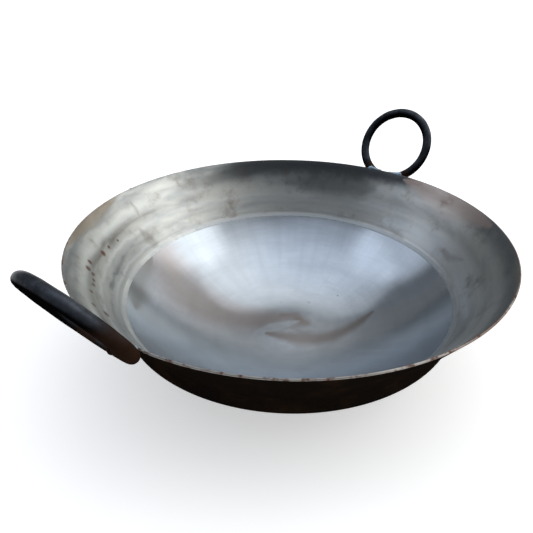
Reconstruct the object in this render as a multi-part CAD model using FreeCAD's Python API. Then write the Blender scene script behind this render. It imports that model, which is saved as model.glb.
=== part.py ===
import FreeCAD, Part
import math
import os

from FreeCAD import Vector

# Kadai: a wide round-bottomed cooking pan of mild steel with two welded ring handles.
# A pressed dish is welded into a rolled, flared wall, whose lower edge is turned upright and reaches
# down round the dish as a collar. Each handle is a ring of round bar that rests against the rim with
# both legs and against the wall with its foot.
# Millimetres. The origin is the middle of the base's underside, +Z is up, the handles lie on X.

# Bowl
sheet = 2.0                     # thickness of the dish and of the wall
mouth_diameter = 480.0          # inner edge of the rim
crease_diameter = 388.0         # inside corner of the wall, where the dish is welded in
wall_height = 70.0              # from the inside corner up to the rim's inner edge
collar_height = 16.0            # the wall's upright lower edge, from the inside corner down
dish_depth = 71.0               # from the inside corner down to the inside of the base
dish_edge_drop = 2.0            # from the inside corner down to the dish's outer edge
dish_fit_gap = 0.2              # of the dish's edge and its weld from the wall
base_flat_diameter = 70.0       # flat that the pan stands on
rim_edge_radius = 0.6           # sheared edge of the rim, rubbed smooth
rim_edge_share = 0.4            # most of the sheet that one rounded edge may take

# Welds of the bowl
girth_wall_leg = 5.0            # from the inside corner up the wall to the weld's upper toe
girth_dish_leg = 2.6            # from the dish's edge down its inside to the weld's lower toe
girth_ridge_height = 0.3        # of the ground weld above the dish's edge
seam_angle = 97.0               # degrees from +X to the wall's own butt seam
seam_root_gap = 1.6             # slit between the two ends of the rolled wall, at the crease
seam_bead_width = 7.0           # cap of the seam weld on the outside
seam_bead_height = 0.9
seam_bead_clearance = 4.0       # from the wall's fold up to the lower end of the cap

# Handles
bar_diameter = 12.0             # round bar of the rings
ring_bore = 80.0                # inside diameter of a ring
ring_lean_past_wall = 5.3       # degrees, how much steeper a ring stands than the wall
ring_dip = 6.0                  # how far a ring's centre line dips below the rim, along its own plane
ring_fit_gap = 0.2              # between the bar and the sheet where they are welded
ring_joint_gap = 2.0            # between the two ends of the bent bar, at the ring's foot

# Welds of the handles, laid as rows of overlapping puddles
rim_puddle_count = 5
rim_puddle_pitch = 3.4
rim_puddle_rise = 4.2           # the first puddle, on the leg, above the rim along the wall's slope
rim_puddle_reach = 0.4          # its top, out from the wall's outer face
rim_puddle_drop = 3.0           # how far a puddle runs down the wall's outer face
rim_puddle_taper_share = 0.86   # each puddle's rise and reach, of the one before it
foot_puddle_side_count = 3      # on each side of the middle puddle
foot_puddle_pitch = 4.2
foot_puddle_leg = 8.6           # from the bar's contact down the wall to the puddle's toe
foot_puddle_reach = 4.2         # its bulge, out from the wall
foot_puddle_bulge_share = 0.7   # of the leg, where the bulge is
foot_puddle_taper_share = 0.95  # each puddle's leg and bulge, of the one nearer the middle

overrun = 5.0                   # how far a cutting solid passes the piece that it cuts

# Worked out from the sizes above
crease_radius = crease_diameter / 2
mouth_radius = mouth_diameter / 2
flat_radius = base_flat_diameter / 2
crease_height = sheet + dish_depth
rim_height = crease_height + wall_height
rim_round = min(rim_edge_radius, rim_edge_share * sheet)

# The dish's profile is a flat and a tangent crown, which ends in a square-cut edge inside the collar.
crown_run = crease_radius - dish_fit_gap - flat_radius
crown_climb = crease_height - dish_edge_drop
crown_angle = 2 * math.atan2(crown_climb, crown_run)
crown_radius = crown_run / math.sin(crown_angle) - sheet
crown_centre = Vector(flat_radius, 0, sheet + crown_radius)

# The wall's slope, and the directions along it and out through it, in the profile's plane.
wall_slope = math.atan2(wall_height, mouth_radius - crease_radius)
wall_slant = math.hypot(wall_height, mouth_radius - crease_radius)
seam_half_angle = math.degrees(seam_root_gap / 2 / crease_radius)
below_rim = wall_slant - rim_round
rim_corner_inset = rim_round * (1 - math.cos(math.pi / 4))
up_wall = Vector(math.cos(wall_slope), 0, math.sin(wall_slope))
out_of_wall = Vector(math.sin(wall_slope), 0, -math.cos(wall_slope))

# The fold between wall and collar, up the wall's outer face, and the collar's lower end.
fold_along = sheet * (1 - math.sin(wall_slope)) / math.cos(wall_slope)
collar_foot = crease_height - collar_height

# The rim's outer edge, which the handles' legs rest on.
rim_outer_radius = mouth_radius + sheet * math.sin(wall_slope)
rim_outer_height = rim_height - sheet * math.cos(wall_slope)

# A ring stands off just far enough for its legs to clear the rim and its foot to clear the wall.
bar_radius = bar_diameter / 2
ring_radius = ring_bore / 2 + bar_radius
ring_rise = ring_radius - ring_dip
bar_stand_off = bar_radius + ring_fit_gap
leg_half_span = math.sqrt(ring_radius**2 - ring_rise**2)
rim_sag = rim_outer_radius - math.sqrt(rim_outer_radius**2 - leg_half_span**2)
lean_past_wall = math.radians(ring_lean_past_wall)
ring_lean = wall_slope + lean_past_wall
foot_room = bar_stand_off + rim_sag * math.sin(wall_slope) - ring_dip * math.sin(lean_past_wall)
ring_stand_off = max(bar_stand_off, foot_room / math.cos(lean_past_wall))
up_ring = Vector(math.cos(ring_lean), 0, math.sin(ring_lean))
out_of_ring = Vector(math.sin(ring_lean), 0, -math.cos(ring_lean))
along_rim = Vector(0, 1, 0)
leg_line_middle = Vector(rim_outer_radius - rim_sag, 0, rim_outer_height)
ring_centre = leg_line_middle + up_ring * ring_rise + out_of_ring * ring_stand_off

foot_middle = ring_centre - up_ring * ring_radius

rim_pitch_angle = math.degrees(rim_puddle_pitch / rim_outer_radius)
foot_pitch_angle = math.degrees(foot_puddle_pitch / foot_middle.x)

origin = Vector(0, 0, 0)
up = Vector(0, 0, 1)


def at(radius, height):
    """A point of the profile's plane."""
    return Vector(radius, 0, height)


def on_wall(along, through):
    """A point of the wall's profile: along it from the inside corner, and out through the sheet."""
    return at(crease_radius, crease_height) + up_wall * along + out_of_wall * through


def on_arc(centre, radius, angle):
    """A point of a profile arc, by its angle from straight down."""
    return centre + at(radius * math.sin(angle), -radius * math.cos(angle))


def line(start, end):
    return Part.LineSegment(start, end).toShape()


def arc(start, middle, end):
    return Part.Arc(start, middle, end).toShape()


def bend(centre, radius, first, last):
    """A profile arc between two angles from straight down."""
    middle = (first + last) / 2
    return arc(*(on_arc(centre, radius, angle) for angle in (first, middle, last)))


def turned(edges):
    """The solid of revolution of a closed profile."""
    return Part.Face(Part.Wire(edges)).revolve(origin, up, 360)


def dish_bowl():
    """Pressed dish: a flat base and a crown with a square-cut edge."""
    edges = [
        line(at(0, sheet), at(flat_radius, sheet)),
        bend(crown_centre, crown_radius, 0, crown_angle),
        line(*(on_arc(crown_centre, radius, crown_angle) for radius in (crown_radius, crown_radius + sheet))),
        bend(crown_centre, crown_radius + sheet, crown_angle, 0),
        line(at(flat_radius, 0), at(0, 0)),
        line(at(0, 0), at(0, sheet)),
    ]
    return turned(edges)


def rim_outer_corner():
    """The rounded outer edge of the rim's profile, from the top down."""
    return arc(
        on_wall(wall_slant, sheet - rim_round),
        on_wall(wall_slant - rim_corner_inset, sheet - rim_corner_inset),
        on_wall(below_rim, sheet),
    )


def rim_inner_corner():
    """The rounded inner edge of the rim's profile, from below up."""
    return arc(
        on_wall(below_rim, 0),
        on_wall(wall_slant - rim_corner_inset, rim_corner_inset),
        on_wall(wall_slant, rim_round),
    )


def wall_span(first, last):
    """The sheet of wall and collar between two angles, counted in degrees from its seam."""
    foot_inner = at(crease_radius, collar_foot)
    foot_outer = at(crease_radius + sheet, collar_foot)
    edges = [
        line(foot_inner, on_wall(0, 0)),
        line(on_wall(0, 0), on_wall(below_rim, 0)),
        rim_inner_corner(),
        line(on_wall(wall_slant, rim_round), on_wall(wall_slant, sheet - rim_round)),
        rim_outer_corner(),
        line(on_wall(below_rim, sheet), on_wall(fold_along, sheet)),
        line(on_wall(fold_along, sheet), foot_outer),
        line(foot_outer, foot_inner),
    ]
    section = Part.Face(Part.Wire(edges)).rotate(origin, up, seam_angle + first)
    return section.revolve(origin, up, last - first)


def flared_wall():
    """Rolled conical band with an upright collar, rounded rim edges and an open butt seam."""
    return wall_span(seam_half_angle, 360 - seam_half_angle)


def girth_weld():
    """Weld in the inside corner between the dish's edge and the wall, ground to a low ridge."""
    corner = on_wall(0, -dish_fit_gap)
    edge_inner = on_arc(crown_centre, crown_radius, crown_angle)
    edge_outer = on_arc(crown_centre, crown_radius + sheet, crown_angle)
    high_toe = on_wall(girth_wall_leg, -dish_fit_gap)
    ridge = on_arc(crown_centre, crown_radius - girth_ridge_height, crown_angle)
    low_toe_angle = crown_angle - girth_dish_leg / crown_radius
    low_toe = on_arc(crown_centre, crown_radius, low_toe_angle)
    edges = [
        line(edge_inner, edge_outer),
        line(edge_outer, corner),
        line(corner, high_toe),
        line(high_toe, ridge),
        line(ridge, low_toe),
        bend(crown_centre, crown_radius, low_toe_angle, crown_angle),
    ]
    return turned(edges)


def inside_outer_face():
    """Everything within the wall's outer face."""
    low = on_wall(-overrun, sheet)
    high = on_wall(wall_slant + overrun, sheet)
    edges = [
        line(at(0, low.z), low),
        line(low, high),
        line(high, at(0, high.z)),
        line(at(0, high.z), at(0, low.z)),
    ]
    return turned(edges)


def wall_seam_weld():
    """Weld of the wall's butt seam: it fills the slit and has a low rounded cap outside."""
    fill = wall_span(-seam_half_angle, seam_half_angle)
    half_width = seam_bead_width / 2
    bead_radius = (half_width**2 + seam_bead_height**2) / (2 * seam_bead_height)
    low_end = fold_along + seam_bead_clearance
    start = on_wall(low_end, sheet + seam_bead_height - bead_radius)
    bead = Part.makeCylinder(bead_radius, below_rim - low_end, start, up_wall)
    cap = bead.rotate(origin, up, seam_angle).cut(inside_outer_face())
    return largest(fill.fuse(cap))


def bar_swept(first, last):
    """The ring's round bar between two angles in degrees, counted from the ring's foot."""
    circle = Part.Circle(foot_middle, along_rim, bar_radius)
    section = Part.Face(Part.Wire(circle.toShape()))
    section.rotate(ring_centre, out_of_ring, first)
    return section.revolve(ring_centre, out_of_ring, last - first)


def joint_half_angle():
    return math.degrees(math.asin(ring_joint_gap / 2 / ring_radius))


def handle_ring():
    """Bar bent into a ring, with its two ends facing each other at the foot."""
    return bar_swept(joint_half_angle(), 360 - joint_half_angle())


def rim_puddle(size_share, angle):
    """One puddle of a rim weld: it sits on the rim's own edge and is a pitch long."""
    rim_inner = on_wall(wall_slant, rim_round)
    top = on_wall(wall_slant + rim_puddle_rise * size_share, sheet + rim_puddle_reach * size_share)
    toe = on_wall(below_rim - rim_puddle_drop, sheet)
    edges = [
        line(rim_inner, on_wall(wall_slant, sheet - rim_round)),
        rim_outer_corner(),
        line(on_wall(below_rim, sheet), toe),
        arc(toe, top, rim_inner),
    ]
    puddle = Part.Face(Part.Wire(edges)).revolve(origin, up, rim_pitch_angle)
    return puddle.rotate(origin, up, angle)


def rim_weld(ring):
    """Weld between the back leg and the rim, running from the leg into the ring."""
    start = math.degrees(math.asin(leg_half_span / rim_outer_radius))
    row = [
        rim_puddle(rim_puddle_taper_share**number, start - rim_pitch_angle * number)
        for number in range(rim_puddle_count)
    ]
    return largest(row[0].multiFuse(row[1:]).cut(ring))


def foot_puddle(number):
    """One puddle of the foot weld, by its place from the middle: it fills the corner below the bar."""
    angle = foot_pitch_angle * number
    size_share = foot_puddle_taper_share ** abs(number)
    side = foot_middle.x * math.sin(math.radians(angle))
    bar = ring_centre - up_ring * math.sqrt(ring_radius**2 - side**2)
    from_corner = at(math.hypot(bar.x, side), bar.z) - on_wall(0, 0)
    along = from_corner.dot(up_wall)
    leg = foot_puddle_leg * size_share
    contact = on_wall(along, sheet)
    toe = on_wall(along - leg, sheet)
    bulge = on_wall(along - leg * foot_puddle_bulge_share, sheet + foot_puddle_reach * size_share)
    bar_middle = on_wall(along, from_corner.dot(out_of_wall))
    edges = [line(contact, toe), arc(toe, bulge, bar_middle), line(bar_middle, contact)]
    puddle = Part.Face(Part.Wire(edges)).revolve(origin, up, foot_pitch_angle)
    return puddle.rotate(origin, up, angle - foot_pitch_angle / 2)


def ring_foot_weld(ring):
    """Weld under the foot, which also closes the joint between the bar's two ends."""
    row = [foot_puddle(number) for number in range(-foot_puddle_side_count, foot_puddle_side_count + 1)]
    joint = bar_swept(-joint_half_angle(), joint_half_angle())
    return largest(row[0].multiFuse(row[1:]).cut(ring).fuse(joint))


def largest(shape):
    """The main solid of a cut, without the slivers that a boolean may leave beside it."""
    return max(shape.Solids, key=lambda solid: solid.Volume)


def opposite(shape):
    """The same piece on the other side of the pan."""
    return shape.copy().rotate(origin, up, 180)


def pieces():
    """Every piece by its name."""
    ring = handle_ring()
    handle = {
        "handle_ring": ring,
        "ring_foot_weld": ring_foot_weld(ring),
        "rim_weld_front": rim_weld(ring).mirror(origin, along_rim),
        "rim_weld_back": rim_weld(ring),
    }
    found = {
        "dish_bowl": dish_bowl(),
        "flared_wall": flared_wall(),
        "girth_weld": girth_weld(),
        "wall_seam_weld": wall_seam_weld(),
    }
    for name, shape in handle.items():
        found[f"{name}_right"] = shape
        found[f"{name}_left"] = opposite(shape)
    return found


def main():
    os.makedirs("parts", exist_ok=True)
    for name, shape in pieces().items():
        shape.exportStep(f"parts/{name}.step")
        print(name, "solids", len(shape.Solids), "valid", shape.isValid(), "volume", round(shape.Volume, 1))
    print("wall slope", round(math.degrees(wall_slope), 2), "ring lean", round(math.degrees(ring_lean), 2))
    print("crown radius", round(crown_radius, 2), "rim height", round(rim_height, 2))


main()
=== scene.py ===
import math

import bpy
from mathutils import Matrix, Vector


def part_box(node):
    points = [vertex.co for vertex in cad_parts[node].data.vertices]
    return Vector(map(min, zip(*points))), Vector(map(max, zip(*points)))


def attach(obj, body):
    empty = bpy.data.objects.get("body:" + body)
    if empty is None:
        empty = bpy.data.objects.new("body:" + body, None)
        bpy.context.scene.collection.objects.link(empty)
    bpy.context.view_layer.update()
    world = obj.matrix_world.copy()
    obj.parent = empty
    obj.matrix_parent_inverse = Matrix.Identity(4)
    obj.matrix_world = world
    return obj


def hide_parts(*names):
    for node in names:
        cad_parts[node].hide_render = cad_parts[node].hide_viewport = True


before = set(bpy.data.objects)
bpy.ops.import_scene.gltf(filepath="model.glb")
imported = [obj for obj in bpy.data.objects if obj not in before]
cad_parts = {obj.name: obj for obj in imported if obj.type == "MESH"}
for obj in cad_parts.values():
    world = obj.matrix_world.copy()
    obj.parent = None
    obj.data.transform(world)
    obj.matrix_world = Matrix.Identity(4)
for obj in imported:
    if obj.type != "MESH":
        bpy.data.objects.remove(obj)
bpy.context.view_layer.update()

# Dish: the pan's round bottom, pressed from 2 mm mild steel sheet and ground bright in rings inside.
# Outside it keeps the dark scale of the hot rolling, with a little rust in it.
mm = 0.001
upright = math.pi / 2
sheet = 2.0 * mm
flat_radius = 35.0 * mm
flat_rings = (6.0 * mm, 13.0 * mm, 20.0 * mm, 27.0 * mm)
crown_steps = 48
ring_steps = 256
dish_unevenness = 0.3 * mm
dish_wave = 62.0 * mm
dish_calm_edge = 40.0 * mm
merge_distance = 0.01 * mm
crisp_edge = math.radians(40)
over_bowl = Vector((0, 0, 350.0 * mm))
mask_foot = 0.05
mask_top = 0.9
dish_depth = 71.0 * mm
dish_edge_drop = 2.0 * mm
dish_fit_gap = 0.2 * mm
dish_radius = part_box("dish_bowl")[1][0]
crease_radius = dish_radius + dish_fit_gap
crease_height = sheet + dish_depth
crown_run = dish_radius - flat_radius
crown_angle = 2 * math.atan2(crease_height - dish_edge_drop, crown_run)
crown_radius = crown_run / math.sin(crown_angle) - sheet


def bend(middle_radius, middle_height, radius, first, last, steps):
    """Points of a profile's arc, by their angles from straight down, without the first."""
    angles = [first + (last - first) * step / steps for step in range(1, steps + 1)]
    return [(middle_radius + radius * math.sin(a), middle_height - radius * math.cos(a)) for a in angles]


def turned(name, outline):
    """A circle at the outline's first point, extruded and scaled from point to point up the pan."""
    bpy.ops.object.select_all(action="DESELECT")
    radius, height = outline[0]
    bpy.ops.mesh.primitive_circle_add(vertices=ring_steps, radius=radius, location=(0, 0, height))
    bpy.ops.object.transform_apply(location=True, rotation=True, scale=True)
    piece = bpy.context.object
    piece.name = name
    bpy.ops.object.mode_set(mode="EDIT")
    bpy.ops.mesh.select_all(action="SELECT")
    for next_radius, next_height in outline[1:]:
        rise = (0, 0, next_height - height)
        widen = next_radius / radius
        bpy.ops.mesh.extrude_region_move(TRANSFORM_OT_translate={"value": rise})
        bpy.ops.transform.resize(value=(widen, widen, 1), center_override=(0, 0, 0))
        radius, height = next_radius, next_height
    return piece


def closed(piece):
    """Merges doubles, fills open ends, turns all faces outwards and shades the curves smooth."""
    bpy.ops.mesh.select_all(action="SELECT")
    bpy.ops.mesh.remove_doubles(threshold=merge_distance)
    bpy.ops.mesh.select_all(action="DESELECT")
    bpy.ops.mesh.select_non_manifold()
    bpy.ops.mesh.fill_holes(sides=0)
    bpy.ops.mesh.select_all(action="SELECT")
    bpy.ops.mesh.normals_make_consistent(inside=False)
    bpy.ops.object.mode_set(mode="OBJECT")
    bpy.ops.object.shade_smooth_by_angle(angle=crisp_edge)
    return piece


def looks_in(point, normal):
    """Whether a face or point of the sheet looks into the bowl, towards a point over its middle."""
    return normal.dot(over_bowl - point) > 0


def uneven(piece, depth, wave, share):
    """Makes the inside of a sheet a little wavy, as forming leaves it, by a share for each point."""
    group = piece.vertex_groups.new(name="inside")
    for vertex in piece.data.vertices:
        if looks_in(vertex.co, vertex.normal):
            group.add([vertex.index], max(0.0, min(1.0, share(vertex.co))), "REPLACE")
    waves = bpy.data.textures.new(piece.name + "_waves", "CLOUDS")
    waves.noise_scale = wave
    waves.noise_depth = 1
    push = piece.modifiers.new("waves", "DISPLACE")
    push.texture = waves
    push.texture_coords = "LOCAL"
    push.vertex_group = group.name
    push.strength = depth
    bpy.context.view_layer.objects.active = piece
    bpy.ops.object.modifier_apply(modifier=push.name)


dish_outline = (
    [(radius, sheet) for radius in flat_rings]
    + [(flat_radius, sheet)]
    + bend(flat_radius, sheet + crown_radius, crown_radius, 0, crown_angle, crown_steps)
    + [(dish_radius, crease_height - dish_edge_drop)]
    + bend(flat_radius, sheet + crown_radius, crown_radius + sheet, crown_angle, 0, crown_steps)
)
dish = closed(turned("dish", dish_outline))
uneven(dish, dish_unevenness, dish_wave, lambda point: (crease_radius - point.xy.length) / dish_calm_edge)


def linear(colour):
    """An sRGB hex colour as linear RGBA."""
    parts = [int(colour[at:at + 2], 16) / 255 for at in (1, 3, 5)]
    return [c / 12.92 if c <= 0.04045 else ((c + 0.055) / 1.055) ** 2.4 for c in parts] + [1.0]


def add(tree, kind, inputs, out=0, **settings):
    """Adds a node with its settings. An input is a value, or the output of another node."""
    node = tree.nodes.new("ShaderNode" + kind)
    for name, value in settings.items():
        setattr(node, name, value)
    for name, value in inputs.items():
        if isinstance(value, bpy.types.NodeSocket):
            tree.links.new(value, node.inputs[name])
        else:
            node.inputs[name].default_value = value
    return node.outputs[out]


def new_finish(name, **uniform):
    """A new material with the values that are the same all over it, and the place on the pan."""
    material = bpy.data.materials.new(name)
    material.use_nodes = True
    tree = material.node_tree
    shader = tree.nodes["Principled BSDF"]
    for socket, value in uniform.items():
        shader.inputs[socket.replace("_", " ")].default_value = value
    place = add(tree, "TexCoord", {}, out="Object")
    return material, tree, shader, place


def pan_radius(tree, place):
    """Distance from the pan's axis."""
    flat = add(tree, "VectorMath", {0: place, 1: (1, 1, 0)}, operation="MULTIPLY")
    return add(tree, "VectorMath", {0: flat}, out="Value", operation="LENGTH")


def ring_grain(tree, place, turn, across):
    """Coordinates for streaks that run round the pan's axis: long along the ring, narrow across it."""
    flat = add(tree, "VectorMath", {0: place, 1: (1, 1, 0)}, operation="MULTIPLY")
    round_axis = add(tree, "VectorMath", {0: flat}, operation="NORMALIZE")
    step = add(tree, "Math", {0: pan_radius(tree, place), 1: 1 / across}, operation="MULTIPLY")
    lift = add(tree, "CombineXYZ", {"Z": step})
    turns = (turn, turn, turn)
    return add(tree, "VectorMath", {0: round_axis, 1: turns, 2: lift}, operation="MULTIPLY_ADD")


def spots(tree, place, marks, noise, ragged):
    """A mask of soft round spots, each a centre and a radius in mm, with edges broken up by a noise."""
    mask = 0.0
    for x, y, z, radius in marks:
        centre = Vector((x, y, z)) * mm
        away = add(tree, "VectorMath", {0: place, 1: centre}, out="Value", operation="DISTANCE")
        soft = add(tree, "MapRange", {0: away, 1: radius * mm, 2: 0.0}, interpolation_type="SMOOTHSTEP")
        mask = add(tree, "Math", {0: mask, 1: soft}, operation="MAXIMUM")
    return broken_up(tree, mask, noise, ragged)


def smear(tree, place, line, noise, ragged):
    """A mask of one soft smear along a line of points, each with a half width, in mm."""
    mask = 0.0
    for first, last in zip(line, line[1:]):
        start, end = Vector(first[:3]) * mm, Vector(last[:3]) * mm
        run = end - start
        off = add(tree, "VectorMath", {0: place, 1: start}, operation="SUBTRACT")
        along = run / run.length_squared
        share = add(tree, "VectorMath", {0: off, 1: along}, out="Value", operation="DOT_PRODUCT")
        share = add(tree, "Math", {0: share, 1: 0.0}, operation="ADD", use_clamp=True)
        nearest = add(tree, "VectorMath", {0: run, "Scale": share}, operation="SCALE")
        away = add(tree, "VectorMath", {0: off, 1: nearest}, out="Value", operation="DISTANCE")
        width = add(tree, "MapRange", {0: share, 3: first[3] * mm, 4: last[3] * mm})
        soft = add(tree, "MapRange", {0: away, 1: width, 2: 0.0})
        mask = add(tree, "Math", {0: mask, 1: soft}, operation="MAXIMUM")
    return broken_up(tree, mask, noise, ragged)


def broken_up(tree, mask, noise, ragged):
    """A mask with its edges moved in and out by a noise, which is a half on average."""
    mixed = add(tree, "Math", {0: noise, 1: ragged, 2: mask}, operation="MULTIPLY_ADD")
    return add(tree, "MapRange", {0: mixed, 1: 0.5 * ragged + mask_foot, 2: 0.5 * ragged + mask_top},
               interpolation_type="SMOOTHSTEP")


def tinted(tree, share, under, over, most=1.0):
    """One colour over another by a share, at most this much of it."""
    if most < 1:
        share = add(tree, "Math", {0: share, 1: most}, operation="MULTIPLY")
    return add(tree, "Mix", {0: share, 6: under, 7: over}, out=2, data_type="RGBA")


# Mild steel ground bright with a disc that went round the bowl: faint ring marks 2 to 15 mm apart, which
# stretch reflections into a fan of rays a few degrees wide; darker rays are painted into its colour too,
# a painted reflection. It is duller towards the near rim.
# A tea-brown film of oil lies across it, with a wiped patch in it and a run below.
ground_steel, tree, shader, place = new_finish(
    "ground_mild_steel", Metallic=1.0, Anisotropic=0.75, Anisotropic_Rotation=0.25)
fine_rings = ring_grain(tree, place, 6.0, 1.8 * mm)
fine = add(tree, "TexNoise", {"Vector": fine_rings, "Scale": 1.0, "Detail": 2.0})
broad_rings = ring_grain(tree, place, 2.4, 15.0 * mm)
broad = add(tree, "TexNoise", {"Vector": broad_rings, "Scale": 1.0, "Detail": 3.0})
cloud = add(tree, "TexNoise", {"Vector": place, "Scale": 1 / (42 * mm), "Detail": 5.0, "Roughness": 0.6})
steel = tinted(tree, fine, linear("#abb4be"), linear("#b8c0c9"))
worn = add(tree, "MapRange", {0: broad, 1: 0.42, 2: 0.72})
steel = tinted(tree, worn, steel, linear("#8f979f"), 0.25)
# Painted reflection: beyond 60 mm from the axis the colour is darkened in long radial rays, standing in for
# the dark rays of the reflected fan.
painted_ray_grain = ring_grain(tree, place, 7.0, 160.0 * mm)
rays = add(tree, "TexNoise", {"Vector": painted_ray_grain, "Scale": 1.0, "Detail": 3.0, "Roughness": 0.6})
painted_dark_rays = add(tree, "MapRange", {0: rays, 1: 0.4, 2: 0.65})
outer = add(tree, "MapRange", {0: pan_radius(tree, place), 1: 60 * mm, 2: 130 * mm})
painted_dark_rays = add(tree, "Math", {0: painted_dark_rays, 1: outer}, operation="MULTIPLY")
steel = tinted(tree, painted_dark_rays, steel, linear("#98a1aa"), 0.35)
oil_line = [(-40, 190, 60, 50), (-54, 140, 26, 66), (-46, 100, 12, 62), (-30, 66, 4, 49), (-4, 34, 2, 36),
            (18, 0, 2, 25), (22, -12, 2, 13)]
oiled = smear(tree, place, oil_line, cloud, 0.35)
wiped_line = [(-32, 24, 2, 8), (-10, 17, 2, 13), (10, 3, 2, 11), (20, -4, 2, 4)]
wiped = smear(tree, place, wiped_line, cloud, 0.3)
oiled = add(tree, "Math", {0: oiled, 1: wiped}, operation="SUBTRACT", use_clamp=True)
steel = tinted(tree, oiled, steel, linear("#87766d"), 0.55)
# A darker grey-brown band runs along the dish's left crease.
left_crease_line = [(-58, 181, 70, 4), (-76, 173, 67, 24), (-98, 158, 65, 32), (-120, 140, 63, 28),
             (-140, 118, 60, 6)]
left_crease_band = smear(tree, place, left_crease_line, cloud, 0.4)
steel = tinted(tree, left_crease_band, steel, linear("#77746e"), 0.6)
blot_line = [(18, 22, 2, 9), (29, 8, 2, 11), (22, -4, 2, 9)]
blot = smear(tree, place, blot_line, cloud, 0.3)
steel = tinted(tree, blot, steel, linear("#87766d"), 0.4)
run_off_line = [(-26, 14, 2, 5), (-19, -4, 2, 15), (-11, -24, 2, 22), (1, -42, 2, 22), (18, -57, 3, 19),
                (37, -66, 6, 15), (58, -74, 10, 11), (78, -80, 16, 4)]
run_off = smear(tree, place, run_off_line, cloud, 0.6)
steel = tinted(tree, run_off, steel, linear("#7f736d"), 0.65)
pit_spots = [(-60, 110, 18, 1.6), (62, 8, 4, 1.8), (92, -20, 10, 2.2), (40, 40, 3, 1.5)]
pits = spots(tree, place, pit_spots, fine, 0.6)
steel = tinted(tree, pits, steel, linear("#5b5048"), 0.8)
tree.links.new(steel, shader.inputs["Base Color"])
rough = add(tree, "MapRange", {0: cloud, 1: 0.3, 2: 0.7, 3: 0.14, 4: 0.18})
near_way = (-0.82, -0.57, 0)
near_side = add(tree, "VectorMath", {0: place, 1: near_way}, out="Value", operation="DOT_PRODUCT")
dulled = add(tree, "MapRange", {0: near_side, 1: 0.0, 2: 80 * mm, 3: 0.0, 4: 0.08})
rough = add(tree, "Math", {0: rough, 1: dulled}, operation="ADD")
tree.links.new(rough, shader.inputs["Roughness"])
round_pan = add(tree, "Tangent", {}, direction_type="RADIAL", axis="Z")
tree.links.new(round_pan, shader.inputs["Tangent"])
bump = add(tree, "Bump", {"Strength": 0.1, "Distance": 0.1 * mm, "Height": fine})
tree.links.new(bump, shader.inputs["Normal"])

# Hot-rolled scale left on the outside: brown-black, dull, with rust bloom in patches about 20 mm wide.
mill_scale, tree, shader, place = new_finish("mill_scale", Metallic=0.0, Specular_IOR_Level=0.0)
grit = add(tree, "TexNoise", {"Vector": place, "Scale": 1 / (2 * mm), "Detail": 4.0})
bloom = add(tree, "TexNoise", {"Vector": place, "Scale": 1 / (38 * mm), "Detail": 7.0, "Roughness": 0.62})
scale_colour = tinted(tree, grit, linear("#110e0c"), linear("#1d1814"))
rusted = add(tree, "MapRange", {0: bloom, 1: 0.48, 2: 0.72})
scale_colour = tinted(tree, rusted, scale_colour, linear("#2c1e14"), 0.75)
tree.links.new(scale_colour, shader.inputs["Base Color"])
rough = add(tree, "MapRange", {0: bloom, 1: 0.3, 2: 0.7, 3: 0.5, 4: 0.8})
tree.links.new(rough, shader.inputs["Roughness"])
bump = add(tree, "Bump", {"Strength": 0.3, "Distance": 0.3 * mm, "Height": grit})
tree.links.new(bump, shader.inputs["Normal"])


def faced(piece, inside, outside):
    """Gives the faces that look into the bowl one finish and all others another."""
    piece.data.materials.append(inside)
    piece.data.materials.append(outside)
    for face in piece.data.polygons:
        face.material_index = 0 if looks_in(face.center, face.normal) else 1


faced(dish, ground_steel, mill_scale)
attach(dish, "root")
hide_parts("dish_bowl")

# Flared wall: a band of the same sheet, rolled to a cone, its lower edge turned upright round the dish.
# Its sheared rim is rubbed smooth. Inside it was ground by hand, so its marks are less even.
# The mouth is a tenth of a millimetre short of the CAD's, whose rim has flats.
wall_height = 70.0 * mm
collar_height = 16.0 * mm
rim_round = 0.6 * mm
mouth_radius = 239.9 * mm
wall_steps = 14
rim_flats = 3
wall_unevenness = 0.5 * mm
wall_wave = 55.0 * mm
wall_calm_edge = 30.0 * mm
wall_calm_share = 0.2
wall_slope = math.atan2(wall_height, mouth_radius - crease_radius)
wall_slant = math.hypot(wall_height, mouth_radius - crease_radius)
fold_along = sheet * (1 - math.sin(wall_slope)) / math.cos(wall_slope)
collar_foot = crease_height - collar_height


def on_wall(along, through):
    """A point of the wall's profile: up its inner face from the crease, and out through the sheet."""
    radius = crease_radius + along * math.cos(wall_slope) + through * math.sin(wall_slope)
    height = crease_height + along * math.sin(wall_slope) - through * math.cos(wall_slope)
    return radius, height


def up_wall(point):
    """How far up the wall's face from the crease a point is."""
    out = math.hypot(point.x, point.y) - crease_radius
    return out * math.cos(wall_slope) + (point.z - crease_height) * math.sin(wall_slope)


def rim_corner(through, first):
    """The rubbed edge of the rim, in short flats."""
    angles = [first + upright * step / rim_flats for step in range(rim_flats + 1)]
    top = wall_slant - rim_round
    return [on_wall(top + rim_round * math.sin(a), through - rim_round * math.cos(a)) for a in angles]


climb = [(wall_slant - rim_round) * step / wall_steps for step in range(wall_steps)]
wall_outline = (
    [(crease_radius, collar_foot)]
    + [on_wall(along, 0) for along in climb]
    + rim_corner(rim_round, 0)
    + rim_corner(sheet - rim_round, upright)
    + [on_wall(along, sheet) for along in reversed(climb[1:])]
    + [on_wall(fold_along, sheet), (crease_radius + sheet, collar_foot), (crease_radius, collar_foot)]
)
wall = closed(turned("wall", wall_outline))
uneven(wall, wall_unevenness, wall_wave,
       lambda point: min(up_wall(point), wall_slant - up_wall(point)) / wall_calm_edge - wall_calm_share)


def ring_band(tree, radius, middle, half_width):
    """A soft band round the pan at a radius."""
    off = add(tree, "Math", {0: radius, 1: middle}, operation="SUBTRACT")
    away = add(tree, "Math", {0: off}, operation="ABSOLUTE")
    return add(tree, "MapRange", {0: away, 1: half_width, 2: 0.0}, interpolation_type="SMOOTHSTEP")


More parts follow.
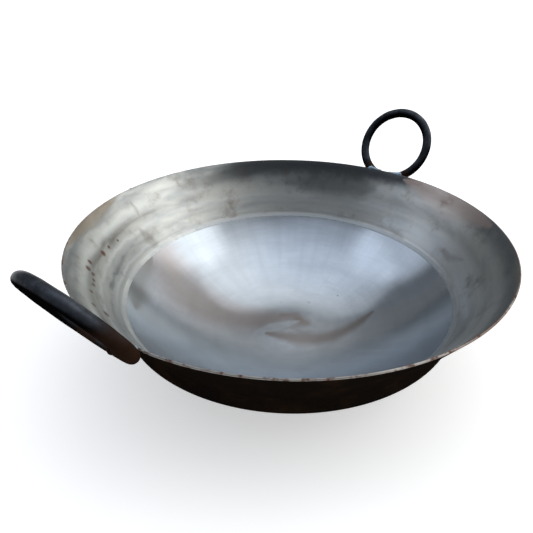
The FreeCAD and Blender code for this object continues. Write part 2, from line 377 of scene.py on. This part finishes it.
def round_wall(marks):
    """A smear's line on the wall's face, from turns in degrees, and radii and half widths in mm."""
    line = []
    for turn, out, half_width in marks:
        angle = math.radians(turn)
        height = (crease_height + (out * mm - crease_radius) * math.tan(wall_slope)) / mm
        line.append((out * math.cos(angle), out * math.sin(angle), height, half_width))
    return line


# The wall's ground face: satin steel with the hand-held disc's bands and smears round the pan, soot-dark
# at the far rim, tinted gold and pink by heat near the rim, with red-brown rust spots 4 to 12 mm wide.
hand_ground_steel, tree, shader, place = new_finish(
    "hand_ground_mild_steel", Metallic=1.0, Anisotropic=0.4, Anisotropic_Rotation=0.25)
fine_rings = ring_grain(tree, place, 9.0, 1.6 * mm)
fine = add(tree, "TexNoise", {"Vector": fine_rings, "Scale": 1.0, "Detail": 3.0})
smudge_rings = ring_grain(tree, place, 3.0, 10.0 * mm)
smudge = add(tree, "TexNoise", {"Vector": smudge_rings, "Scale": 1.0, "Detail": 4.0, "Roughness": 0.55,
                                "Distortion": 0.5})
cloud = add(tree, "TexNoise", {"Vector": place, "Scale": 1 / (28 * mm), "Detail": 6.0, "Roughness": 0.62})
steel = tinted(tree, fine, linear("#b2b5b3"), linear("#bebfbc"))
smudged = add(tree, "MapRange", {0: smudge, 1: 0.42, 2: 0.72})
steel = tinted(tree, smudged, steel, linear("#8b939b"), 0.5)
patch = add(tree, "MapRange", {0: cloud, 1: 0.5, 2: 0.62})
steel = tinted(tree, patch, steel, linear("#978d84"), 0.12)
drift = add(tree, "MapRange", {0: cloud, 1: 0.2, 2: 0.8, 3: -2.2 * mm, 4: 2.2 * mm})
radius = add(tree, "Math", {0: pan_radius(tree, place), 1: drift}, operation="ADD")
left_way = (-0.74, 0.67, 0)
left_side = add(tree, "VectorMath", {0: place, 1: left_way}, out="Value", operation="DOT_PRODUCT")
left_side = add(tree, "MapRange", {0: left_side, 1: 150 * mm, 2: 200 * mm, 3: 0.25, 4: 1.0})
for middle, half_width, colour, most in (
        (242.0, 15.0, "#63696d", 1.0), (226.0, 5.0, "#d6dad7", 0.9), (218.0, 5.5, "#716e68", 0.9),
        (211.5, 2.4, "#d6dada", 0.9), (204.0, 3.0, "#777b7d", 0.9), (199.0, 2.0, "#d2d6d6", 0.7)):
    band = ring_band(tree, radius, middle * mm, half_width * mm)
    unbroken = add(tree, "MapRange", {0: smudge, 1: 0.25, 2: 0.6})
    band = add(tree, "Math", {0: band, 1: unbroken}, operation="MULTIPLY")
    if middle < mouth_radius / mm:
        band = add(tree, "Math", {0: band, 1: left_side}, operation="MULTIPLY")
    steel = tinted(tree, band, steel, linear(colour), most)
soot_line = round_wall([
    (84, 228, 6), (74, 228, 12), (65, 229, 19), (55, 232, 30), (45, 236, 42), (34, 238, 48), (22, 238, 46),
    (12, 238, 40), (4, 238, 30), (-5, 238, 18), (-15, 238, 4)])
soot = smear(tree, place, soot_line, cloud, 0.4)
to_right = add(tree, "SeparateXYZ", {0: place}, out="X")
thick = add(tree, "MapRange", {0: to_right, 1: 20 * mm, 2: 140 * mm})
soot = add(tree, "Math", {0: soot, 1: thick}, operation="MULTIPLY")
steel = tinted(tree, soot, steel, linear("#3c4043"), 0.9)
dull_line = round_wall([(-26, 239, 4), (-36, 239, 22), (-50, 239, 34), (-66, 239, 37), (-82, 239, 37),
                        (-100, 239, 32), (-128, 239, 8)])
dull = smear(tree, place, dull_line, cloud, 0.25)
steel = tinted(tree, dull, steel, linear("#646a6e"), 0.6)
bright_line = round_wall([(-8, 203, 8), (-24, 203, 26), (-42, 203, 34), (-58, 203, 30), (-80, 203, 8)])
bright = smear(tree, place, bright_line, smudge, 0.5)
steel = tinted(tree, bright, steel, linear("#d6dbe0"), 0.5)
haze_line = [(176, 128, 118, 12), (205, 78, 116, 34), (217, 38, 118, 36), (221, 8, 121, 12)]
haze = smear(tree, place, haze_line, cloud, 0.5)
steel = tinted(tree, haze, steel, linear("#4c5150"), 0.6)
gold_line = [(-56, 231, 142, 2), (-89, 221, 141, 13), (-119, 206, 141, 17), (-147, 188, 142, 12),
             (-177, 159, 142, 2)]
gold = smear(tree, place, gold_line, smudge, 0.8)
steel = tinted(tree, gold, steel, linear("#9c8a70"), 0.5)
pink_line = [(234, -34, 139, 3), (230, -54, 138, 14), (219, -84, 136, 28), (203, -118, 135, 32),
             (180, -152, 136, 22), (158, -178, 137, 6)]
pink = smear(tree, place, pink_line, smudge, 0.6)
steel = tinted(tree, pink, steel, linear("#b8a69d"), 0.65)
scuff_lines = (
    [(-42, 228, 131, 2), (-39, 222, 122, 5), (-40, 216, 114, 2)],
    [(-50, 206, 100, 4), (-46, 201, 90, 11), (-39, 193, 78, 12)],
    [(194, -40, 82, 8), (188, -54, 77, 14), (184, -63, 74, 8)],
    [(158, -130, 89, 5), (147, -142, 89, 10), (141, -152, 93, 10), (134, -161, 97, 5)],
)
for scuff_line in scuff_lines:
    scuff = smear(tree, place, scuff_line, cloud, 2.0)
    steel = tinted(tree, scuff, steel, linear("#6b625a"), 0.32)
rust_spots = [(-94, 194, 106, 3.4), (-114, 185, 108, 4.6), (-128, 176, 109, 6.4), (-157, 158, 117, 6.2),
              (-166, 148, 117, 6.4), (-165, 143, 111, 4.6), (-171, 135, 109, 4.2), (-177, 127, 109, 4.0),
              (-188, 113, 113, 4.8), (-203, 88, 115, 5.6), (-195, 84, 101, 7.2)]
rust = spots(tree, place, rust_spots, cloud, 0.8)
steel = tinted(tree, rust, steel, linear("#5e3119"), 0.85)
tree.links.new(steel, shader.inputs["Base Color"])
rough = add(tree, "MapRange", {0: smudge, 1: 0.3, 2: 0.7, 3: 0.34, 4: 0.46})
tree.links.new(rough, shader.inputs["Roughness"])
round_pan = add(tree, "Tangent", {}, direction_type="RADIAL", axis="Z")
tree.links.new(round_pan, shader.inputs["Tangent"])
bump = add(tree, "Bump", {"Strength": 0.12, "Distance": 0.12 * mm, "Height": fine})
tree.links.new(bump, shader.inputs["Normal"])

# The rim's sheared edge: bare steel rubbed bright in places, rusting in red-brown specks 2 to 6 mm long.
rim_steel, tree, shader, place = new_finish("rubbed_rim_steel", Metallic=1.0)
speck = add(tree, "TexNoise", {"Vector": place, "Scale": 1 / (8 * mm), "Detail": 5.0, "Roughness": 0.7})
rubbed = add(tree, "TexNoise", {"Vector": place, "Scale": 1 / (60 * mm), "Detail": 2.0})
edge_colour = tinted(tree, rubbed, linear("#5f5a56"), linear("#bdbbb7"))
# Towards the right-hand side the rim's colour is darker and browner where the rubbed noise is low.
right_way = (0.64, -0.77, 0)
right_side = add(tree, "VectorMath", {0: place, 1: right_way}, out="Value", operation="DOT_PRODUCT")
right_side = add(tree, "MapRange", {0: right_side, 1: 20 * mm, 2: 160 * mm})
right_rim_darkening = add(tree, "MapRange", {0: rubbed, 1: 0.62, 2: 0.42})
right_rim_darkening = add(tree, "Math", {0: right_rim_darkening, 1: right_side}, operation="MULTIPLY")
edge_colour = tinted(tree, right_rim_darkening, edge_colour, linear("#59453a"), 0.85)
rusty = add(tree, "MapRange", {0: speck, 1: 0.5, 2: 0.64})
edge_colour = tinted(tree, rusty, edge_colour, linear("#5f3420"), 0.9)
tree.links.new(edge_colour, shader.inputs["Base Color"])
rough = add(tree, "MapRange", {0: rusty, 1: 0.0, 2: 1.0, 3: 0.34, 4: 0.75})
tree.links.new(rough, shader.inputs["Roughness"])

faced(wall, hand_ground_steel, mill_scale)
wall.data.materials.append(rim_steel)
for face in wall.data.polygons:
    if up_wall(face.center) > wall_slant - rim_round:
        face.material_index = 2
    elif face.center.z < crease_height:
        face.material_index = 1
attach(wall, "root")
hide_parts("flared_wall")

# Girth weld: it joins the dish's edge to the wall all the way round, in the corner inside.
# It is ground down with the wall, so only its lower part shows, as a pale line that fades on the right; on
# the left it is made paler still by a painted highlight along the crease's ridge.
girth_wall_leg = 5.0 * mm
girth_dish_leg = 2.6 * mm
girth_ridge = 0.16 * mm
girth_shoulder_share = 0.8
girth_turn = 1.5 * mm


def on_crown(radius, leg):
    """A point of the dish's profile, this far below its edge."""
    angle = crown_angle - leg / crown_radius
    return flat_radius + radius * math.sin(angle), sheet + crown_radius - radius * math.cos(angle)


girth_outline = [
    on_crown(crown_radius, girth_dish_leg),
    on_crown(crown_radius - girth_ridge * girth_shoulder_share, girth_dish_leg / 2),
    on_crown(crown_radius - girth_ridge, 0),
    on_wall(girth_turn, -girth_ridge),
    on_wall(girth_wall_leg, 0),
    on_wall(0, 0),
    on_crown(crown_radius + sheet, 0),
    on_crown(crown_radius, 0),
    on_crown(crown_radius, girth_dish_leg),
]
girth = closed(turned("girth_weld_ring", girth_outline))

# Weld metal ground flush: paler than the sheet, with the disc's marks every 6 mm along it.
ground_weld, tree, shader, place = new_finish(
    "ground_weld_metal", Metallic=1.0, Anisotropic=0.3, Anisotropic_Rotation=0.25)
mark = add(tree, "TexNoise", {"Vector": place, "Scale": 1 / (6 * mm), "Detail": 4.0, "Roughness": 0.6})
long_mark = add(tree, "TexNoise", {"Vector": place, "Scale": 1 / (45 * mm), "Detail": 3.0})
# Painted highlight: towards the left the weld is painted paler, standing in for the light caught on the
# crease's ridge, and this fades out on the right.
left_side = add(tree, "VectorMath", {0: place, 1: left_way}, out="Value", operation="DOT_PRODUCT")
left_side = add(tree, "MapRange", {0: left_side, 1: 60 * mm, 2: 180 * mm})
pale_weld_and_painted_highlight = add(tree, "MapRange", {0: long_mark, 1: 0.35, 2: 0.6, 3: 0.35, 4: 1.0})
pale_weld_and_painted_highlight = add(tree, "Math", {0: pale_weld_and_painted_highlight, 1: left_side}, operation="MULTIPLY")
steel = tinted(tree, mark, linear("#989ea3"), linear("#b4b9bc"))
steel = tinted(tree, pale_weld_and_painted_highlight, steel, linear("#d3d6d3"), 0.85)
tree.links.new(steel, shader.inputs["Base Color"])
rough = add(tree, "MapRange", {0: mark, 1: 0.3, 2: 0.7, 3: 0.34, 4: 0.55})
tree.links.new(rough, shader.inputs["Roughness"])
round_pan = add(tree, "Tangent", {}, direction_type="RADIAL", axis="Z")
tree.links.new(round_pan, shader.inputs["Tangent"])

faced(girth, ground_weld, mill_scale)
girth.data.materials.append(hand_ground_steel)
for face in girth.data.polygons:
    if face.material_index == 0 and up_wall(face.center) > girth_turn:
        face.material_index = 2
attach(girth, "root")
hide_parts("girth_weld")

# Seam weld: the band's two ends meet in a butt seam, which is welded from outside in a row of puddles.
# Inside it is ground flush, so only a faint line shows there.
seam_angle = math.radians(97.0)
seam_puddles = 22
seam_bead_half_width = 3.5 * mm
seam_bead_height = 0.9 * mm
seam_puddle_share = 0.9
seam_wobble = 0.08
seam_wobble_turn = 2.4
seam_root_half_width = 1.3 * mm
seam_root_place = 0.55
seam_root_share = 0.62
seam_clearance = 4.0 * mm
ball_segments = 24
ball_rings = 14
voxel = 0.3 * mm
settle_share = 0.5
settle_rounds = 3


def wall_frame(angle):
    """Directions up the wall, out through it and along the rim, at an angle round the pan."""
    out_radius = Vector((math.cos(angle), math.sin(angle), 0))
    up = out_radius * math.cos(wall_slope) + Vector((0, 0, math.sin(wall_slope)))
    out = out_radius * math.sin(wall_slope) - Vector((0, 0, math.cos(wall_slope)))
    return up, out, up.cross(out)


def wall_point(along, through, angle):
    """A point of the wall, up its face, out through it and at an angle round the pan."""
    radius, height = on_wall(along, through)
    return Vector((radius * math.cos(angle), radius * math.sin(angle), height))


def bead(name, puddles):
    """A weld bead: overlapping balls, each stretched along three directions, melted into one skin."""
    bpy.ops.object.select_all(action="DESELECT")
    balls = []
    for centre, directions, radii in puddles:
        bpy.ops.mesh.primitive_uv_sphere_add(segments=ball_segments, ring_count=ball_rings, radius=1.0)
        ball = bpy.context.object
        columns = [direction * radius for direction, radius in zip(directions, radii)]
        stretch = Matrix([[column[row] for column in columns] for row in range(3)]).to_4x4()
        ball.data.transform(Matrix.Translation(centre) @ stretch)
        if stretch.determinant() < 0:
            ball.data.flip_normals()
        balls.append(ball)
    for ball in balls:
        ball.select_set(True)
    bpy.context.view_layer.objects.active = balls[0]
    bpy.ops.object.join()
    piece = bpy.context.object
    piece.name = name
    skin = piece.modifiers.new("melted", "REMESH")
    skin.mode = "VOXEL"
    skin.voxel_size = voxel
    bpy.ops.object.modifier_apply(modifier=skin.name)
    settle = piece.modifiers.new("settled", "SMOOTH")
    settle.factor = settle_share
    settle.iterations = settle_rounds
    bpy.ops.object.modifier_apply(modifier=settle.name)
    bpy.ops.object.shade_smooth()
    return piece


seam_frame = wall_frame(seam_angle)
seam_low = fold_along + seam_clearance
seam_high = wall_slant - rim_round
seam_pitch = (seam_high - seam_low) / seam_puddles
seam_row = []
for number in range(seam_puddles):
    half_width = seam_bead_half_width * (1 - seam_wobble + seam_wobble * math.sin(seam_wobble_turn * number))
    seam_row.append((wall_point(seam_low + seam_pitch * (number + 0.5), sheet, seam_angle), seam_frame,
                     (seam_pitch * seam_puddle_share, seam_bead_height, half_width)))
seam_root = (wall_point((seam_low + seam_high) / 2, sheet * seam_root_place, seam_angle), seam_frame,
             ((seam_high - seam_low) / 2, sheet * seam_root_share, seam_root_half_width))
seam = bead("seam_weld", seam_row + [seam_root])

# Burnt weld metal: left as it cooled on the outside, dark with scale and a little rust, in 4 mm puddles.
burnt_weld, tree, shader, place = new_finish("burnt_weld_metal", Metallic=0.0, Specular_IOR_Level=0.0)
crust = add(tree, "TexNoise", {"Vector": place, "Scale": 1 / (5 * mm), "Detail": 5.0, "Roughness": 0.6})
crust_colour = tinted(tree, crust, linear("#0d0b0b"), linear("#35291f"))
tree.links.new(crust_colour, shader.inputs["Base Color"])
rough = add(tree, "MapRange", {0: crust, 1: 0.3, 2: 0.7, 3: 0.42, 4: 0.7})
tree.links.new(rough, shader.inputs["Roughness"])

faced(seam, hand_ground_steel, burnt_weld)
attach(seam, "root")
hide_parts("wall_seam_weld")

# Handle rings: 12 mm hot-rolled round bar bent to a ring, its ends meeting at the foot, slightly dented by
# the hammer. Each leans out over the rim a little steeper than the wall and is welded to it.
bar_radius = 6.0 * mm
ring_radius = 46.0 * mm
joint_gap = 2.0 * mm
lean_past_wall = math.radians(5.3)
bar_sides = 28
bend_steps = 120
dent_depth = 0.5 * mm
dent_width = 13.0 * mm
dent_level = 0.8
ring_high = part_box("handle_ring_right")[1]
lean = wall_slope + lean_past_wall
up_ring = Vector((math.cos(lean), 0, math.sin(lean)))
out_of_ring = Vector((math.sin(lean), 0, -math.cos(lean)))
ring_top = Vector((ring_high[0] - bar_radius, 0, ring_high[2] - bar_radius))
ring_centre = ring_top - up_ring * ring_radius
foot = ring_centre - up_ring * ring_radius
half_joint = math.asin(joint_gap / 2 / ring_radius)

bpy.ops.object.select_all(action="DESELECT")
bpy.ops.mesh.primitive_circle_add(vertices=bar_sides, radius=bar_radius, fill_type="NGON",
                                  location=foot, rotation=(upright, 0, 0))
bpy.ops.object.transform_apply(location=True, rotation=True, scale=True)
right_ring = bpy.context.object
right_ring.name = "handle_ring_far"
to_centre = Matrix.Translation(ring_centre)
past_joint = Matrix.Rotation(half_joint, 4, out_of_ring)
right_ring.data.transform(to_centre @ past_joint @ to_centre.inverted())
bpy.ops.object.mode_set(mode="EDIT")
bpy.ops.mesh.select_all(action="SELECT")
bend_angle = 2 * math.pi - 2 * half_joint
bpy.ops.mesh.spin(steps=bend_steps, angle=bend_angle, center=ring_centre, axis=out_of_ring)
closed(right_ring)
dents = bpy.data.textures.new("bar_dents", "CLOUDS")
dents.noise_scale = dent_width
hammer = right_ring.modifiers.new("hammer", "DISPLACE")
hammer.texture = dents
hammer.texture_coords = "LOCAL"
hammer.mid_level = dent_level
hammer.strength = dent_depth
bpy.ops.object.modifier_apply(modifier=hammer.name)

# Black bar: dull blue-black scale. On its upward-facing side, flakes about 10 mm wide are rubbed by hands to
# bare metal and given a painted sheen, a lighter blue-grey standing in for the light from overhead. It is
# browned by rust at the welds and along the near ring's front leg.
black_bar, tree, shader, place = new_finish("black_hot_rolled_bar", Specular_IOR_Level=0.0)
grit = add(tree, "TexNoise", {"Vector": place, "Scale": 1 / (3 * mm), "Detail": 4.0})
flake = add(tree, "TexNoise", {"Vector": place, "Scale": 1 / (20 * mm), "Detail": 6.0, "Roughness": 0.65})
facing = add(tree, "SeparateXYZ", {0: add(tree, "TexCoord", {}, out="Normal")}, out="Z")
upper = add(tree, "MapRange", {0: facing, 1: 0.0, 2: 0.75}, interpolation_type="SMOOTHSTEP")
flaked = add(tree, "MapRange", {0: flake, 1: 0.38, 2: 0.62, 3: 0.35, 4: 1.0})
rubbed_and_painted_sheen = add(tree, "Math", {0: upper, 1: flaked}, operation="MULTIPLY")
bar_colour = tinted(tree, grit, linear("#050505"), linear("#0b0b0c"))
# Painted sheen: the upward-facing flakes are painted a lighter blue-grey, and the same share makes them
# metal below.
bar_colour = tinted(tree, rubbed_and_painted_sheen, bar_colour, linear("#484d55"))
rust_line = [(-270, -44, 184, 20), (-258, -44, 162, 30), (-247, -26, 142, 26), (-244, 0, 134, 14)]
rusted = smear(tree, place, rust_line, flake, 0.8)
weld_burns = spots(tree, place, [(248, 23, 141, 24), (248, -23, 141, 24), (-248, 23, 141, 20)], flake, 0.9)
rusted = add(tree, "Math", {0: rusted, 1: weld_burns}, operation="MAXIMUM")
bar_colour = tinted(tree, rusted, bar_colour, linear("#33231a"), 0.85)
tree.links.new(bar_colour, shader.inputs["Base Color"])
bare_and_painted_sheen = add(tree, "Math", {0: rubbed_and_painted_sheen, 1: rusted}, operation="SUBTRACT", use_clamp=True)
tree.links.new(bare_and_painted_sheen, shader.inputs["Metallic"])
rough = add(tree, "MapRange", {0: flake, 1: 0.3, 2: 0.7, 3: 0.52, 4: 0.36})
tree.links.new(rough, shader.inputs["Roughness"])
bump = add(tree, "Bump", {"Strength": 0.25, "Distance": 0.25 * mm, "Height": grit})
tree.links.new(bump, shader.inputs["Normal"])
right_ring.data.materials.append(black_bar)

half_turn = Matrix.Rotation(math.pi, 4, "Z")
front_to_back = Matrix.Scale(-1, 4, Vector((0, 1, 0)))


def copied(piece, name, move):
    """A copy of a piece with its own mesh, moved or mirrored to its place."""
    copy = piece.copy()
    copy.data = piece.data.copy()
    copy.name = name
    bpy.context.collection.objects.link(copy)
    copy.data.transform(move)
    if move.determinant() < 0:
        copy.data.flip_normals()
    return copy


left_ring = copied(right_ring, "handle_ring_near", half_turn)
for piece, node in ((right_ring, "handle_ring_right"), (left_ring, "handle_ring_left")):
    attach(piece, "root")
    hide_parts(node)

# Foot welds: a fillet of puddles in the corner between each ring's foot and the wall, and a band
# of weld that closes the joint between the bar's two ends.
foot_count = 7
foot_pitch = 4.2 * mm
foot_drop = 4.6 * mm
foot_stand_off = 1.6 * mm
foot_puddle_share = 0.82
foot_puddle = (3.6 * mm, 2.6 * mm, foot_pitch * foot_puddle_share)
band_share = 1.12
band_radius = bar_radius * band_share
band_half_width = 2.4 * mm
along_bar = Vector((0, 1, 0))
foot_row = []
for number in range(foot_count):
    along_rim = foot_pitch * (number - (foot_count - 1) / 2)
    angle = math.asin(along_rim / foot.x)
    rise = ring_radius - math.sqrt(ring_radius**2 - along_rim**2)
    bar = foot + up_ring * rise + Vector((0, along_rim, 0))
    foot_row.append((wall_point(up_wall(bar) - foot_drop, sheet + foot_stand_off, angle), wall_frame(angle),
                     foot_puddle))
joint_band = (foot, (up_ring, out_of_ring, along_bar), (band_radius, band_radius, band_half_width))
right_foot_weld = bead("foot_weld_far", foot_row + [joint_band])

right_foot_weld.data.materials.append(burnt_weld)
left_foot_weld = copied(right_foot_weld, "foot_weld_near", half_turn)
for piece, node in ((right_foot_weld, "ring_foot_weld_right"), (left_foot_weld, "ring_foot_weld_left")):
    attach(piece, "root")
    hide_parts(node)

# Rim welds: a short bead on each leg, laid from the bar along the rim towards the ring's middle.
# They are bare and bright, and hold the ring upright against the rim.
rim_count = 5
rim_pitch = 3.4 * mm
rim_taper = 0.76
leg_half_span = 22.7 * mm
rim_puddle_height = 3.6 * mm
rim_puddle_depth = 2.1 * mm
rim_puddle_share = 1.15
rim_weld_rise = 0.2 * mm
rim_weld_place = 0.75
rim_outer_radius = on_wall(wall_slant, sheet)[0]
rim_row = []
for number in range(rim_count):
    size = rim_taper**number
    angle = math.asin(leg_half_span / rim_outer_radius) - rim_pitch * number / rim_outer_radius
    rim_row.append((wall_point(wall_slant + rim_weld_rise, sheet * rim_weld_place, angle), wall_frame(angle),
                    (rim_puddle_height * size, rim_puddle_depth * size, rim_pitch * rim_puddle_share)))
back_right = bead("rim_weld_far_back", rim_row)

# Bare weld metal: smooth silver with a blue heat colour and a little straw, in puddles of about 4 mm.
weld_metal, tree, shader, place = new_finish("bare_weld_metal", Metallic=1.0)
tint = add(tree, "TexNoise", {"Vector": place, "Scale": 1 / (9 * mm), "Detail": 3.0, "Roughness": 0.5})
weld_colour = tinted(tree, tint, linear("#64798c"), linear("#b3c8d9"))
straw = add(tree, "MapRange", {0: tint, 1: 0.62, 2: 0.75})
weld_colour = tinted(tree, straw, weld_colour, linear("#8c775a"), 0.4)
tree.links.new(weld_colour, shader.inputs["Base Color"])
rough = add(tree, "MapRange", {0: tint, 1: 0.3, 2: 0.7, 3: 0.28, 4: 0.42})
tree.links.new(rough, shader.inputs["Roughness"])

back_right.data.materials.append(weld_metal)
rim_welds = {
    "rim_weld_back_right": back_right,
    "rim_weld_front_right": copied(back_right, "rim_weld_far_front", front_to_back),
    "rim_weld_back_left": copied(back_right, "rim_weld_near_back", half_turn),
    "rim_weld_front_left": copied(back_right, "rim_weld_near_front", half_turn @ front_to_back),
}
for node, piece in rim_welds.items():
    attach(piece, "root")
    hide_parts(node)

# Floor: a plain white sheet that runs past the picture's top edge and takes the pan's shadow.
# To the camera and in reflections it glows a little, so that it looks white under a plain light.
floor_size = 60.0
floor_glow = 0.5
bpy.ops.object.select_all(action="DESELECT")
bpy.ops.mesh.primitive_plane_add(size=floor_size)
floor = bpy.context.object
floor.name = "floor"
white, tree, shader, place = new_finish("white_floor", Metallic=0.0, Roughness=0.9, Specular_IOR_Level=0.0)
shader.inputs["Base Color"].default_value = linear("#f2f2f2")
shader.inputs["Emission Color"].default_value = linear("#ffffff")
seen = 0.0
for ray in ("Is Camera Ray", "Is Glossy Ray", "Is Transmission Ray"):
    seen = add(tree, "Math", {0: seen, 1: add(tree, "LightPath", {}, out=ray)}, operation="MAXIMUM")
glow = add(tree, "Math", {0: seen, 1: floor_glow}, operation="MULTIPLY")
tree.links.new(glow, shader.inputs["Emission Strength"])
floor.data.materials.append(white)

# Light: a studio with a wide soft light overhead, a bright one at the camera's right and a weaker one at
# its left. The room itself is paler on the right.
view_turn = 35.7
world = bpy.data.worlds.new("soft_studio")
bpy.context.scene.world = world
world.use_nodes = True
tree = world.node_tree
towards = add(tree, "TexCoord", {})


def soft_edged(turn, rise, edge, full, dim, bright):
    """Brightness round a direction, by its turn to the camera's right and its rise, all in degrees.

    It is bright as far as the full angle, and fades to dim at the edge angle.
    """
    level, climb = math.radians(view_turn - turn), math.radians(rise)
    aim = (math.cos(climb) * math.cos(level), math.cos(climb) * math.sin(level), math.sin(climb))
    facing = add(tree, "VectorMath", {0: towards, 1: aim}, out="Value", operation="DOT_PRODUCT")
    outer, inner = math.cos(math.radians(edge)), math.cos(math.radians(full))
    return add(tree, "MapRange", {0: facing, 1: outer, 2: inner, 3: dim, 4: bright},
               interpolation_type="SMOOTHSTEP")


room = (71.5, 6.5, 93, 14, 0.24, 1.06)
lamps = (
    (-19, 80, 39, 37, 0.46),
    (-1, 78, 36, 7, 0.55),
    (81, 38, 28, 12, 1.2),
    (-76, 41, 28, 16, 0.72),
)
light = soft_edged(*room)
for turn, rise, edge, full, bright in lamps:
    lamp = soft_edged(turn, rise, edge, full, 0.0, bright)
    light = add(tree, "Math", {0: light, 1: lamp}, operation="ADD")
tree.links.new(light, tree.nodes["Background"].inputs["Strength"])
cool_side = soft_edged(-115, 35, 95, 35, 0.0, 1.0)
light_colour = tinted(tree, cool_side, linear("#fffefb"), linear("#e8effa"))
tree.links.new(light_colour, tree.nodes["Background"].inputs["Color"])

# Camera: its place and lens were fitted to the photo's rim, crease, bottom outline and rings.
# The shift is what the photo's square crop needs.
camera = bpy.data.objects.new("camera", bpy.data.cameras.new("camera"))
bpy.context.collection.objects.link(camera)
camera.location = (-0.39827, -0.27370, 0.37812)
camera.rotation_euler = [math.radians(turn) for turn in (54.9097, -0.5933, -53.8635)]
camera.data.sensor_width = 36.0
camera.data.lens = 31.766
camera.data.shift_x = -0.02589
camera.data.shift_y = 0.07059
bpy.context.scene.camera = camera
bpy.context.scene.view_settings.view_transform = "Standard"
